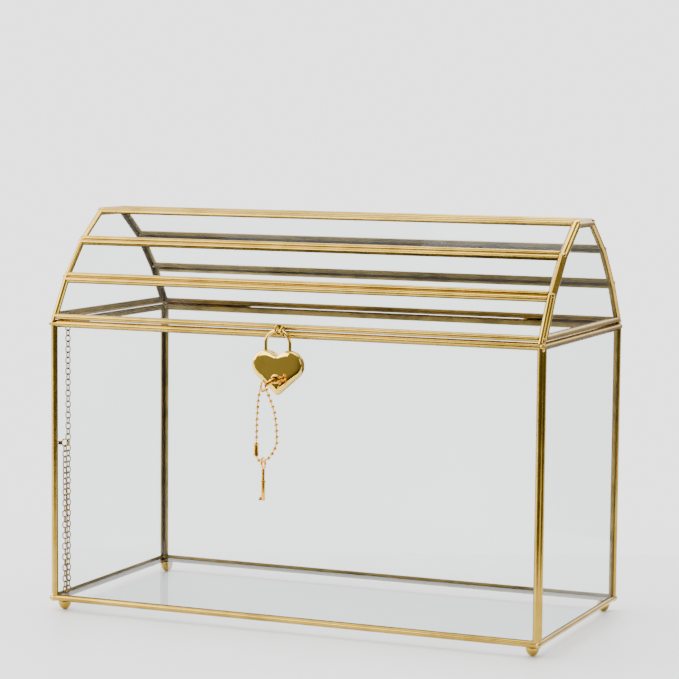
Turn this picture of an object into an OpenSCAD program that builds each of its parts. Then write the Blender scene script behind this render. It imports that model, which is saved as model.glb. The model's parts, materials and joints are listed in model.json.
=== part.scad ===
// Glass card box with a brass angle frame, a hinged roof-shaped lid, a stay chain and a heart padlock.
// Millimetres. X runs along the box, -Y is the front, +Z is up, and the feet stand on Z = 0.

/* [Chest] */
// Length along X
chest_l = 280; // [240:2:320]
// Depth from front face to back face
chest_w = 132.6; // [120:0.2:150]
// Height of the glass chest without its feet
chest_h = 153.8; // [153.8:0.2:170]
// Height of the feet
foot_h = 5.4; // [4:0.2:8]
// Largest radius of a foot
foot_r = 3.5; // [3:0.1:4.5]

/* [Lid] */
// Height of the lid from its rim to the top rails
lid_h = 57.6; // [52:0.2:62]
// Distance of the lower knee rail from the middle
knee1_y = 52.5; // [50:0.5:55]
// Height of the lower knee rail above the lid rim
knee1_z = 22; // [19:0.2:24]
// Distance of the upper knee rail from the middle
knee2_y = 35; // [32:0.5:38]
// Height of the upper knee rail above the lid rim
knee2_z = 41.6; // [38:0.2:44]
// Half the width of the open top between the outer edges of its rails
slot_y = 12.7; // [10:0.1:15]

/* [Brass and glass] */
// Thickness of the folded brass strip
brass_t = 0.5; // [0.4:0.05:0.7]
// Width of each flange of the strip
flange = 3.1; // [3:0.1:4.5]
// Thickness of the glass panes
glass_t = 2; // [1.6:0.1:2.4]

/* [Hinge] */
// Height of the gap between the two rims
rim_gap = 1; // [0.8:0.1:1.6]
// Length of each hinge barrel
barrel_l = 50; // [30:1:60]
// Outer radius of the hinge barrels
barrel_r = 1.1; // [1:0.05:1.3]
// Radius of the hinge pins
pin_r = 0.6; // [0.5:0.05:0.65]
// Radial clearance of the pins in the barrels
pin_play = 0.05; // [0.03:0.01:0.08]

/* [Stay chain] */
// Distance from one link to the next
link_pitch = 3; // [2.8:0.1:3.2]
// Thickness of the link wire
link_wire = 0.6; // [0.5:0.05:0.65]
// Links hanging from the anchor eye on the chest
foot_links = 27; // [23:2:27]
// Links rising from the bend at the bottom
mid_links = 25; // [21:2:25]
// Links hanging from the eye on the lid
top_links = 25; // [21:2:25]

/* [Padlock] */
// Width of the heart
heart_w = 28.4; // [27:0.2:30]
// Height of the heart from its tip to the tops of its lobes
heart_h = 23.6; // [22:0.2:26]
// Thickness of the heart
heart_t = 5.5; // [5.4:0.1:6.5]
// Radius of the shackle wire
shackle_r = 0.9; // [0.8:0.05:1]
// Place of the padlock along X
lock_x = -3.9; // [-10:0.1:10]
// How far the key hangs below level in the keyhole, in degrees
key_droop = 8; // [0:1:10]

/* [Key chain] */
// Radius of the chain's beads
bead_r = 1; // [0.8:0.1:1.2]
// Distance from one bead to the next
bead_pitch = 3.1; // [2.8:0.1:3.6]

/* [Hidden] */

BRASS = [0.80, 0.66, 0.36];
LOCK_GOLD = [0.86, 0.74, 0.36];
KEY_GOLD = [0.90, 0.66, 0.22];
CHAIN_GOLD = [0.80, 0.70, 0.50];
STEEL = [0.72, 0.72, 0.72];
GLASS = [0.80, 0.88, 0.86, 0.30];
$fn = 32;

// Chest
half_l = chest_l / 2;
half_w = chest_w / 2;
inner_l = half_l - brass_t - glass_t;
inner_w = half_w - brass_t - glass_t;
foot_inset = 5;
rim_z = foot_h + chest_h;
lid_z = rim_z + rim_gap;

// Hinge line, which lies just behind the gap between the rims
hinge_out = barrel_r + 0.15;
hinge_y = half_w + hinge_out;
hinge_z = rim_z + rim_gap / 2;
barrel_x = half_l - 4 - barrel_l / 2;
// Distance of each bent end of a pin from its barrel, and the pad that holds it
pin_stub = 1.6;
pad_l = 1.8;
pad_h = 1.6;
pad_low = rim_gap / 2 + 2.2;
// Width of the web between a barrel and the lid
web_w = 2.2;

// Padlock, in its own frame: the origin is level with the centres of the heart's lobes
lobe_share = 0.545;
lobe_r = lobe_share * heart_w / 2;
lobe_x = heart_w / 2 - lobe_r;
tip_z = heart_h - lobe_r;
lock_wall = 0.8;
leg_x = 6.85;
arc_z = 11;
pivot_z = 4.5;
// Bottom and height of the latch's bolt, and the lower end of the shackle's free leg
latch_z = 1.4;
latch_h = 1.2;
leg_low_z = 0.2;
// Tip of the bolt, the latch's tail and its lower end
bolt_tip_x = 5.3;
tail_x = [-3.95, -2.75];
tail_low_z = -8.8;
latch_half = 0.9;
latch_play = 0.15;
// Slots in the shell for the shackle's two legs, half as wide as this along Y
fixed_slot_x = [-9.9, -5.75];
free_slot_x = [4.7, 8.5];
slot_half = 1.15;
// Rib that the spring bears on
rib_x = [-9, -8.2];
spring_r = 1.85;
spring_t = 0.2;
spring_h = 1.4;
keyhole_z = -7;
keyhole_r = 1.45;
keyhole_half = 0.55;
plate_r = 2.5;
plate_t = 0.5;
key_len = 19.4;
key_tip_y = 1.4;
bow_r = 2.75;
bow_wire = 0.55;

// Hasp eyes and the line about which the padlock swings
eye_r = 2.3;
eye_wire = 0.5;
eye_out = 3.1;
hasp_y = -half_w - eye_out;
lid_eye_z = hinge_z + 0.7;
chest_eye_z = lid_eye_z - 0.8;
swing_z = lid_eye_z - eye_r + eye_wire + shackle_r + 0.1;
lock_z = swing_z - arc_z - leg_x;

// The model is centred between the key's bow in front and the hinge barrels behind
front_reach = eye_out + (key_len - key_tip_y) * cos(key_droop) + bow_r + bow_wire;
back_reach = hinge_y + barrel_r - half_w;
centre_y = (front_reach - back_reach) / 2;

// Stay chain: lengths of its stretches, its two eyes and its bend
link_l = link_pitch + 2 * link_wire + 0.1;
link_w = 3.2;
bend_l = 5.7;
stay_eye_wire = 0.35;
hook_len = (link_l - link_wire) / 2 - link_wire / 2 - stay_eye_wire - 0.05;
// Each end of the bend turns about a point this far from both wires' inner sides
hug = 0.46;
fold_len = (link_l - link_wire) / 2 - hug;
bend_len = bend_l - link_w + 2 * hug;
stay_x = -half_l + 5.6;
anchor_y = -inner_w + link_w / 2 + 0.4;
stay_y = anchor_y + bend_len;
stay_lid_eye_r = 1.3;
stay_anchor_eye_r = 2;
stay_z = lid_z + brass_t / 2 - stay_lid_eye_r;
foot_len = hook_len + (foot_links - 1) * link_pitch + fold_len;
mid_len = fold_len + (mid_links - 1) * link_pitch + link_pitch / 2;
top_len = link_pitch / 2 + (top_links - 1) * link_pitch + hook_len;
bend_z = stay_z - top_len - mid_len;
anchor_z = bend_z + foot_len;

// Key chain: its route hangs in the XZ plane from the lower wire of the key's bow
key_reach = key_len - key_tip_y - heart_t / 2;
bow_y = -heart_t / 2 - key_reach * cos(key_droop) + bow_r * sin(key_droop);
hook_z = keyhole_z - key_reach * sin(key_droop) - bow_r * cos(key_droop);
over_bow = bow_wire + 0.4;
CHAIN_ROUTE = [[0, over_bow], [-1.58, over_bow], [-2.6, -2], [-3.1, -6], [-3.6, -14],
    [-3.9, -27], [-3.9, -34], [-3, -35.8], [-1, -36.4], [1, -36.1], [3.4, -34.2],
    [6.2, -30.6], [7.8, -25.8], [7.4, -18], [6.2, -10], [4.2, -5], [2.9, -1.9],
    [1.58, over_bow], [0, over_bow]];
connector_x = -3.9;
connector_z = [-33.8, -27.2];
// The wire between two beads stops just short of both
wire_gap = 0.02;
spare_z = -37.2;

// Places a shape that is drawn about the middle of the chest
module placed(tone) {
    color(tone) translate([0, centre_y, 0]) children();
}

// Places a shape that is drawn in the padlock's own frame
module on_lock(tone) {
    placed(tone) translate([lock_x, hasp_y, lock_z]) children();
}

// ---- Chest ----

// A pane between two corners
module pane(low, high) {
    placed(GLASS) translate(low) cube(high - low);
}

module floor_glass() {
    pane([-inner_l, -inner_w, foot_h + brass_t], [inner_l, inner_w, foot_h + brass_t + glass_t]);
}

module long_glass(side) {
    mirror([0, side > 0 ? 0 : 1, 0])
        translate([0, inner_w, 0]) cube_x(2 * (half_l - brass_t), glass_t);
}

// A standing pane, centred on X, that rises from inside the base rail to inside the rim rail
module cube_x(length, thick) {
    translate([-length / 2, 0, foot_h + brass_t]) cube([length, thick, chest_h - 2 * brass_t]);
}

module front_glass() {
    placed(GLASS) long_glass(-1);
}

module back_glass() {
    placed(GLASS) long_glass(1);
}

module end_pane(side) {
    translate([side * (inner_l + glass_t / 2), 0, 0]) rotate([0, 0, 90])
        translate([0, -glass_t / 2, 0]) cube_x(2 * inner_w, glass_t);
}

module left_glass() {
    placed(GLASS) end_pane(-1);
}

module right_glass() {
    placed(GLASS) end_pane(1);
}

// Corner angle that stands between the base rails and the rim rails
module post(side_x, side_y) {
    placed(BRASS) scale_sides(side_x, side_y) translate([half_l, half_w, foot_h + flange])
        linear_extrude(chest_h - 2 * flange)
            polygon([[0, 0], [-flange, 0], [-flange, -brass_t], [-brass_t, -brass_t],
                [-brass_t, -flange], [0, -flange]]);
}

// Mirrors a shape drawn in the +X +Y quarter into another one
module scale_sides(side_x, side_y) {
    mirror([side_x > 0 ? 0 : 1, 0, 0]) mirror([0, side_y > 0 ? 0 : 1, 0]) children();
}

module post_front_left() { post(-1, -1); }
module post_front_right() { post(1, -1); }
module post_back_left() { post(-1, 1); }
module post_back_right() { post(1, 1); }

// Horizontal angle on the +Y side, with its lying flange at Z = 0 and mitred at both ends
module rail(length, ends_in) {
    translate([-length / 2 + ends_in, -brass_t, 0]) cube([length - 2 * ends_in, brass_t, flange]);
    linear_extrude(brass_t)
        polygon([[-length / 2 + brass_t, -brass_t], [length / 2 - brass_t, -brass_t],
            [length / 2 - flange, -flange], [-length / 2 + flange, -flange]]);
}

module base_rail(turn, length, reach, ends_in) {
    placed(BRASS) rotate([0, 0, turn]) translate([0, reach, foot_h]) rail(length, ends_in);
}

module rim_rail(turn, length, reach, ends_in) {
    placed(BRASS) rotate([0, 0, turn]) translate([0, reach, rim_z]) mirror([0, 0, 1])
        rail(length, ends_in);
}

module base_rail_front() { base_rail(180, chest_l, half_w, 0); }
module base_rail_back() { base_rail(0, chest_l, half_w, 0); }
module base_rail_left() { base_rail(90, chest_w, half_l, brass_t); }
module base_rail_right() { base_rail(-90, chest_w, half_l, brass_t); }
module rim_rail_front() { rim_rail(180, chest_l, half_w, 0); }
module rim_rail_back() { rim_rail(0, chest_l, half_w, 0); }
module rim_rail_left() { rim_rail(90, chest_w, half_l, brass_t); }
module rim_rail_right() { rim_rail(-90, chest_w, half_l, brass_t); }

// Acorn-shaped foot with a small flat under its tip
module foot() {
    rotate_extrude()
        polygon([[0, 0], [0.9, 0], [0.6 * foot_r, 0.25 * foot_h], [0.9 * foot_r, 0.55 * foot_h],
            [foot_r, 0.8 * foot_h], [0.85 * foot_r, foot_h], [0, foot_h]]);
}

module feet() {
    placed(BRASS) for (sx = [-1, 1], sy = [-1, 1])
        translate([sx * (half_l - foot_inset), sy * (half_w - foot_inset), 0]) foot();
}

// ---- Hinge ----

// Pin whose bent ends are held by pads on the back of the chest's rim
module hinge_pin() {
    reach = barrel_l / 2 + pin_stub;
    rotate([0, 90, 0]) cylinder(r = pin_r, h = 2 * reach, center = true);
    for (s = [-1, 1]) translate([s * reach, 0, 0]) {
        sphere(r = pin_r);
        translate([0, 0, -pad_low]) cylinder(r = pin_r, h = pad_low);
        translate([-pad_l / 2, -hinge_out, -pad_low]) cube([pad_l, hinge_out, pad_h]);
    }
}

module hinge_pins() {
    placed(BRASS) for (s = [-1, 1]) translate([s * barrel_x, hinge_y, hinge_z]) hinge_pin();
}

// Tube with a web up to the back strip of the lid, on whose slope it lies
module hinge_barrel() {
    foot = [-hinge_out, rim_gap / 2];
    slope = unit([knee1_y - half_w, knee1_z]);
    difference() {
        union() {
            rotate([0, 90, 0]) cylinder(r = barrel_r, h = barrel_l, center = true);
            translate([-barrel_l / 2, 0, 0]) rotate([90, 0, 90]) linear_extrude(barrel_l)
                polygon([foot, [0, 0], [0.6 * barrel_r, 0.8 * barrel_r], foot + web_w * slope]);
        }
        rotate([0, 90, 0]) cylinder(r = pin_r + pin_play, h = barrel_l + 1, center = true);
    }
}

module hinge_barrels() {
    placed(BRASS) for (s = [-1, 1]) translate([s * barrel_x, hinge_y, hinge_z]) hinge_barrel();
}

// ---- Lid ----

// Corners of the lid's outline seen from its end, from the front rim over the top to the back rim
LID = [[-half_w, 0], [-knee1_y, knee1_z], [-knee2_y, knee2_z], [-slot_y, lid_h],
    [slot_y, lid_h], [knee2_y, knee2_z], [knee1_y, knee1_z], [half_w, 0]];

function corner(i) = LID[(i + 8) % 8];
function unit(v) = v / norm(v);
// Outward normal of the facet from corner i to the next
function facing(i) = let (d = unit(corner(i + 1) - corner(i))) [-d.y, d.x];
// The point inside corner i at the given depths under the facets before and after it
function inset(i, before, after) =
    let (a = facing(i - 1), b = facing(i), k = a.x * b.y - a.y * b.x)
    corner(i) + [-before * b.y + after * a.y, before * b.x - after * a.x] / k;
// The point on facet i at a distance along it from corner i and at a depth under it
function on_facet(i, along, depth) =
    corner(i) + unit(corner(i + 1) - corner(i)) * along - facing(i) * depth;

// Extrudes a shape in the end view's plane from one X to another
module along_x(from, to) {
    translate([from, 0, lid_z]) rotate([90, 0, 90]) linear_extrude(to - from) children();
}

// Strip bent over corner i, running between the end frames
module lid_rail(i) {
    before = norm(corner(i) - corner(i - 1));
    placed(BRASS) along_x(-half_l + flange, half_l - flange)
        polygon([on_facet(i - 1, before - flange, 0), corner(i), on_facet(i, flange, 0),
            on_facet(i, flange, brass_t), inset(i, brass_t, brass_t),
            on_facet(i - 1, before - flange, brass_t)]);
}

module lid_rim_front() { lid_rail(0); }
module knee_rail_front_low() { lid_rail(1); }
module knee_rail_front_high() { lid_rail(2); }
module top_rail_front() { lid_rail(3); }
module top_rail_back() { lid_rail(4); }
module knee_rail_back_high() { lid_rail(5); }
module knee_rail_back_low() { lid_rail(6); }
module lid_rim_back() { lid_rail(7); }

// Pane under facet i, mitred against its neighbours
module roof_pane(i) {
    low = brass_t;
    high = brass_t + glass_t;
    placed(GLASS) along_x(-half_l + brass_t, half_l - brass_t)
        polygon([inset(i, low, low), inset(i + 1, low, low), inset(i + 1, high, high),
            inset(i, high, high)]);
}

module roof_glass_front_low() { roof_pane(0); }
module roof_glass_front_mid() { roof_pane(1); }
module roof_glass_front_top() { roof_pane(2); }
module roof_glass_back_top() { roof_pane(4); }
module roof_glass_back_mid() { roof_pane(5); }
module roof_glass_back_low() { roof_pane(6); }

// Depth of the end pane's edge under facet i. It fits inside the roof panes, and reaches the strips
// of the two facets that have no pane
SLOT_FACET = 3;
FLOOR_FACET = 7;
function is_open(i) = (i + 8) % 8 == SLOT_FACET || (i + 8) % 8 == FLOOR_FACET;
function pane_depth(i) = is_open(i) ? brass_t : brass_t + glass_t;

module end_glass(side) {
    placed(GLASS) mirror([side > 0 ? 0 : 1, 0, 0]) along_x(half_l - brass_t - glass_t, half_l - brass_t)
        polygon([for (i = [0:7]) inset(i, pane_depth(i - 1), pane_depth(i))]);
}

module end_glass_left() { end_glass(-1); }
module end_glass_right() { end_glass(1); }

// Eight mitred angle strips round the end of the lid
module end_frame(side) {
    placed(BRASS) mirror([side > 0 ? 0 : 1, 0, 0]) for (i = [0:7]) {
        along_x(half_l - brass_t, half_l)
            polygon([corner(i), corner(i + 1), inset(i + 1, flange, flange), inset(i, flange, flange)]);
        along_x(half_l - flange, half_l - brass_t)
            polygon([corner(i), corner(i + 1), inset(i + 1, brass_t, brass_t), inset(i, brass_t, brass_t)]);
    }
}

module end_frame_left() { end_frame(-1); }
module end_frame_right() { end_frame(1); }

// ---- Hasp eyes ----

// Wire ring in the YZ plane
module ring_yz(radius, wire) {
    rotate([0, 90, 0]) rotate_extrude() translate([radius, 0]) circle(r = wire, $fn = 24);
}

module hasp_eye_lid() {
    placed(BRASS) translate([lock_x - 0.4, hasp_y, lid_eye_z]) {
        ring_yz(eye_r, eye_wire);
        difference() {
            translate([0, 1.2, 2.05]) rotate([-90, 0, 0]) cylinder(r = eye_wire, h = eye_out + 1);
            translate([0, -hasp_y, -lid_eye_z]) along_x(-2, 2) polygon(LID);
        }
    }
}

module hasp_eye_chest() {
    placed(BRASS) translate([lock_x + 2.8, hasp_y, chest_eye_z]) {
        ring_yz(eye_r, eye_wire);
        translate([0, 1.9, -1.4]) rotate([-90, 0, 0]) cylinder(r = eye_wire, h = eye_out - 1.9);
    }
}

// ---- Stay chain ----

// Wire ring in the XZ plane whose lower wire is centred on the origin
module hanging_eye(radius) {
    translate([0, 0, radius]) rotate([90, 0, 0]) rotate_extrude() translate([radius, 0])
        circle(r = stay_eye_wire, $fn = 24);
}

// Eye with a solder pad in the glass corner
module stay_anchor_eye() {
    eye = stay_anchor_eye_r;
    pad_x = stay_x + inner_l - eye;
    placed(BRASS) translate([stay_x, anchor_y, anchor_z]) {
        hanging_eye(eye);
        translate([-eye - pad_x, -anchor_y - inner_w, eye - 1])
            linear_extrude(2) polygon([[0, 0], [pad_x + 0.3, 0], [pad_x + 0.3, 2.2], [0, 2.2]]);
    }
}

// Eye with a short stem to the edge of the lid's end rail
module stay_lid_eye() {
    eye = stay_lid_eye_r;
    stem = half_l + stay_x - flange;
    placed(BRASS) translate([stay_x, stay_y, stay_z]) {
        hanging_eye(eye);
        translate([-stem, 0, eye]) rotate([0, 90, 0]) cylinder(r = brass_t / 2, h = stem - eye);
    }
}

// Oval link centred on the origin, in the XZ plane turned about Z by the given angle
module link(length, turn) {
    bend = (link_w - link_wire) / 2;
    straight = length - link_w;
    rotate([0, 0, turn]) for (s = [-1, 1]) {
        translate([0, 0, s * straight / 2]) rotate([90, s > 0 ? 0 : 180, 0]) rotate_extrude(angle = 180)
            translate([bend, 0]) circle(d = link_wire, $fn = 16);
        translate([s * bend, 0, 0]) cylinder(d = link_wire, h = straight, center = true, $fn = 16);
    }
}

// A run of links upwards from the first one's centre, each a quarter turn on from the one before it
// plus an even share of the twist that is spread over the run
module link_run(count, first, twist) {
    for (i = [0:count - 1]) translate([0, 0, i * link_pitch])
        link(link_l, first + 90 * i + twist * i / (count - 1));
}

module stay_chain_foot() {
    placed(CHAIN_GOLD) translate([stay_x, anchor_y, bend_z + fold_len])
        link_run(foot_links, 0, 90);
}

module stay_chain_bend() {
    placed(CHAIN_GOLD) translate([stay_x, (anchor_y + stay_y) / 2, bend_z]) rotate([90, 0, 0])
        link(bend_l, 90);
}

module stay_chain_mid() {
    placed(CHAIN_GOLD) translate([stay_x, stay_y, bend_z + fold_len])
        link_run(mid_links, 0, 0);
}

module stay_chain_top() {
    placed(CHAIN_GOLD) translate([stay_x, stay_y, bend_z + mid_len + link_pitch / 2])
        link_run(top_links, 90, 0);
}

// ---- Padlock ----

// Half angle at the heart's tip, between its axis and the straight side
tip_angle = atan(lobe_x / tip_z) + asin(lobe_r / norm([lobe_x, tip_z]));

// Solid heart between two depths, drawn in by the given inset
module heart(y_from, y_to, shrink) {
    r = lobe_r - shrink;
    tip = -(tip_z - shrink / sin(tip_angle));
    side = [lobe_x + r * cos(tip_angle), -r * sin(tip_angle)];
    translate([0, y_to, 0]) rotate([90, 0, 0]) linear_extrude(y_to - y_from) union() {
        for (s = [-1, 1]) translate([s * lobe_x, 0]) circle(r = r, $fn = 64);
        polygon([[0, tip], side, [lobe_x, 0], [-lobe_x, 0], [-side.x, side.y]]);
    }
}

// Box between two corners
module block(low, high) {
    translate(low) cube(high - low);
}

// Cylinder along Y between two depths at a place in the XZ plane
module across(x, z, r, y_from, y_to) {
    translate([x, y_to, z]) rotate([90, 0, 0]) cylinder(r = r, h = y_to - y_from);
}

half_t = heart_t / 2;
plate_y = half_t - lock_wall;

module lock_front_shell() {
    on_lock(LOCK_GOLD) {
        difference() {
            heart(-half_t, plate_y, 0);
            heart(-half_t + lock_wall, plate_y + 1, 1);
            block([free_slot_x[0], -slot_half, 2], [free_slot_x[1], slot_half, lobe_r + 1]);
            block([fixed_slot_x[0], -slot_half, 3], [fixed_slot_x[1], slot_half, lobe_r + 1]);
            block([-3, -slot_half, latch_z - latch_play], [3, slot_half, latch_z + latch_h + latch_play]);
            across(0, keyhole_z, keyhole_r, -half_t - 1, 0);
            block([-keyhole_half, -half_t - 1, keyhole_z - 2.9], [keyhole_half, 0, keyhole_z]);
        }
        // Guide below the latch, and the rib behind its spring
        block([1.2, -half_t + lock_wall, latch_z - 1], [3, 1, latch_z - latch_play]);
        block([rib_x[0], -half_t + lock_wall, -5], [rib_x[1], 1.2, 0]);
    }
}

module lock_back_plate() {
    on_lock(LOCK_GOLD) heart(plate_y, half_t, 0);
}

module keyhole_plate() {
    on_lock(LOCK_GOLD) difference() {
        across(0, keyhole_z, plate_r, -half_t - plate_t, -half_t);
        across(0, keyhole_z, keyhole_r, -half_t - 1, 0);
        block([-keyhole_half, -half_t - 1, keyhole_z - plate_r - 0.5], [keyhole_half, 0, keyhole_z]);
    }
}

module shackle_pivot() {
    on_lock(STEEL) across(-leg_x, pivot_z, 0.6, -half_t + lock_wall, plate_y);
}

module shackle() {
    on_lock(LOCK_GOLD) difference() {
        union() {
            translate([0, 0, arc_z]) rotate([90, 0, 0]) rotate_extrude(angle = 180)
                translate([leg_x, 0]) circle(r = shackle_r);
            translate([-leg_x, 0, pivot_z]) cylinder(r = shackle_r, h = arc_z - pivot_z);
            translate([leg_x, 0, leg_low_z]) cylinder(r = shackle_r, h = arc_z - leg_low_z);
            across(-leg_x, pivot_z, 1.6, -shackle_r, shackle_r);
        }
        across(-leg_x, pivot_z, 0.65, -2, 2);
        block([leg_x - 1.4, -2, latch_z - 0.2], [leg_x - 0.4, 2, latch_z + latch_h + 0.2]);
    }
}

// Sliding latch with its bolt above and a tail that the key's bit pushes
module lock_latch() {
    on_lock(STEEL) {
        block([tail_x[0], -latch_half, latch_z], [bolt_tip_x, latch_half, latch_z + latch_h]);
        block([tail_x[0], -latch_half, tail_low_z], [tail_x[1], latch_half, latch_z]);
    }
}

// Open ring of spring strip between the latch's tail and the rib
module latch_spring() {
    on_lock(STEEL) translate([(rib_x[1] + tail_x[0]) / 2, spring_h / 2, -2.5]) rotate([90, 0, 0])
        rotate([0, 0, -140]) rotate_extrude(angle = 280)
            translate([spring_r, 0]) square([spring_t, spring_h]);
}

// ---- Keys and key chain ----

// Key with the centre of its bow at the origin, its shaft down -Z and its bit towards -X
module key() {
    rotate([0, 90, 0]) rotate_extrude() translate([bow_r, 0]) circle(r = bow_wire, $fn = 24);
    difference() {
        union() {
            translate([0, 0, -9.6]) cylinder(r = 0.75, h = 9.6 - bow_r);
            for (z = [-4.4, -5.8, -7.2]) translate([0, 0, z]) cylinder(r = 1, h = 0.6);
            translate([0, 0, -key_len]) cylinder(r = 1.05, h = key_len - 9.6);
            block([-2.4, -0.35, -key_len + 0.2], [0, 0.35, -key_len + 1.8]);
        }
        translate([0, 0, -key_len - 1]) cylinder(r = 0.55, h = 5);
    }
}

module lock_key() {
    on_lock(KEY_GOLD) translate([0, -half_t, keyhole_z]) rotate([key_droop, 0, 0])
        translate([0, half_t + key_tip_y - key_len, 0]) rotate([90, 0, 0]) key();
}

// Point at the given distance along a route
function route_at(route, s, i = 0) =
    let (step = norm(route[i + 1] - route[i]))
    s <= step || i == len(route) - 2 ? route[i] + (route[i + 1] - route[i]) * s / step
        : route_at(route, s - step, i + 1);
function route_length(route) =
    let (steps = [for (i = [0:len(route) - 2]) norm(route[i + 1] - route[i])]) steps * [for (s = steps) 1];

chain_len = route_length(CHAIN_ROUTE);
bead_count = floor(chain_len / bead_pitch);
function bead_at(k) = route_at(CHAIN_ROUTE, (k + 0.5) * chain_len / bead_count);

// Moves a shape to where the chain hooks onto the key's bow
module on_hook(tone) {
    on_lock(tone) translate([0, bow_y, hook_z]) children();
}

// One bead with the wire that runs on from it to the given distance
module bead(r, reach) {
    rotate_extrude(convexity = 4)
        polygon(concat([[0, -r]], [for (a = [-75:15:75]) [r * cos(a), r * sin(a)]],
            [[0.25, r], [0.25, reach], [0, reach]]));
}

module bead_chain() {
    on_hook(KEY_GOLD) for (k = [0:bead_count - 1]) {
        here = bead_at(k);
        next = bead_at((k + 1) % bead_count);
        gap = next - here;
        // Smaller beads sit inside the connector and at its ends
        inside = here.x < 0 && here.y < connector_z[1] + 0.5 && here.y > connector_z[0] - 0.5;
        translate([here.x, 0, here.y]) rotate([0, atan2(gap.x, gap.y), 0])
            bead(inside ? 0.8 * bead_r : bead_r, norm(gap) - bead_r - wire_gap);
    }
}

module chain_connector() {
    on_hook(KEY_GOLD) translate([connector_x, 0, connector_z[0]]) difference() {
        cylinder(r = bead_r + 0.25, h = connector_z[1] - connector_z[0]);
        translate([0, 0, -1]) cylinder(r = bead_r - 0.05, h = connector_z[1] - connector_z[0] + 2);
    }
}

module spare_key() {
    on_hook(KEY_GOLD) translate([0.2, 0, spare_z]) rotate([0, 0, 45]) key();
}

floor_glass();
front_glass();
back_glass();
left_glass();
right_glass();
post_front_left();
post_front_right();
post_back_left();
post_back_right();
base_rail_front();
base_rail_back();
base_rail_left();
base_rail_right();
rim_rail_front();
rim_rail_back();
rim_rail_left();
rim_rail_right();
feet();
hinge_pins();
hasp_eye_chest();
stay_anchor_eye();
roof_glass_front_low();
roof_glass_front_mid();
roof_glass_front_top();
roof_glass_back_low();
roof_glass_back_mid();
roof_glass_back_top();
end_glass_left();
end_glass_right();
lid_rim_front();
lid_rim_back();
knee_rail_front_low();
knee_rail_front_high();
knee_rail_back_low();
knee_rail_back_high();
top_rail_front();
top_rail_back();
end_frame_left();
end_frame_right();
hinge_barrels();
hasp_eye_lid();
stay_lid_eye();
stay_chain_top();
stay_chain_mid();
stay_chain_bend();
stay_chain_foot();
shackle();
shackle_pivot();
lock_front_shell();
lock_back_plate();
keyhole_plate();
lock_latch();
latch_spring();
lock_key();
bead_chain();
chain_connector();
spare_key();
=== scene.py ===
import json
import math

import bmesh
import bpy
from mathutils import Matrix, Vector, noise


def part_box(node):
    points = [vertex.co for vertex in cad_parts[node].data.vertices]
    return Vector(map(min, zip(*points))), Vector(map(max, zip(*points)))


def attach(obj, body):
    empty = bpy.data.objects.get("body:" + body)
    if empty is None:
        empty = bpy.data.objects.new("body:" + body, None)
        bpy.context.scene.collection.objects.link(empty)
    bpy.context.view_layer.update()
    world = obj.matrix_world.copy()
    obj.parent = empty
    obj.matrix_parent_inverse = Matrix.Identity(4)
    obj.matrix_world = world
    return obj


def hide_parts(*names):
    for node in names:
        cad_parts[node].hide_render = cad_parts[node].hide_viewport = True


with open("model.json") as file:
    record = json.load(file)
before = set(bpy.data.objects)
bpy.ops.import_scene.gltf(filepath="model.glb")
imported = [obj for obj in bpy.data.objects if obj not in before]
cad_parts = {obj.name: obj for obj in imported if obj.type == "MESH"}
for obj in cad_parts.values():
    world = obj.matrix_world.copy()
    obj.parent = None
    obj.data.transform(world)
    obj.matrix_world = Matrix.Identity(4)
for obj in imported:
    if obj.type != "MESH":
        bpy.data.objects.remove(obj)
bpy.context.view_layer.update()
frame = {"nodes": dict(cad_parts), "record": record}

MM = 0.001

# Sizes of the box in millimetres, about the middle of the chest, with the feet on Z = 0
HALF_L = 140.0
HALF_W = 66.3
FOOT_H = 5.4
RIM_Z = 159.2
LID_Z = 160.2
FLANGE = 3.1
BRASS_T = 0.5
# Width of the dark lip at each flange's tip: patina with painted shade where the strip meets the glass
DARK_LIP_W = 0.42
# Height of the rounded back of a flange, in the open and where the lid's rim faces the chest's
CROWN = 1.05
LOW_CROWN = 0.35
LID_OUTLINE = [
    (-66.3, 0.0), (-52.5, 22.0), (-35.0, 41.6), (-12.7, 57.6),
    (12.7, 57.6), (35.0, 41.6), (52.5, 22.0), (66.3, 0.0),
]

# The chest's middle lies behind the frame's origin by this much, in metres
FRONT_PANE_LOW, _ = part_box("front_glass")
_, BACK_PANE_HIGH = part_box("back_glass")
MID_Y = (FRONT_PANE_LOW[1] + BACK_PANE_HIGH[1]) / 2


def at(x, y, z):
    """A point given in millimetres about the middle of the chest, in the shared frame's metres."""
    return Vector((x * MM, MID_Y + y * MM, z * MM))


# ---- Camera ----

# Lens and place in millimetres, turns in degrees
LENS = 128.8
SENSOR = 36.0
CAMERA_AT = (516.9, -1212.1, 273.7)
AZIMUTH, PITCH, ROLL = (math.radians(a) for a in (23.04, -5.38, -0.51))


def add_camera():
    data = bpy.data.cameras.new("camera")
    data.lens = LENS
    data.sensor_width = SENSOR
    data.clip_start = 0.05
    data.clip_end = 20
    cam = bpy.data.objects.new("camera", data)
    bpy.context.scene.collection.objects.link(cam)
    turn = (
        Matrix.Rotation(AZIMUTH, 3, "Z")
        @ Matrix.Rotation(PITCH, 3, "X")
        @ Matrix.Rotation(ROLL, 3, "Y")
    )
    right, ahead, up = turn.col[0], turn.col[1], turn.col[2]
    facing = Matrix((right, up, -ahead)).transposed().to_4x4()
    cam.matrix_world = Matrix.Translation(at(*CAMERA_AT)) @ facing
    bpy.context.scene.camera = cam


add_camera()


# ---- Materials ----


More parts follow.
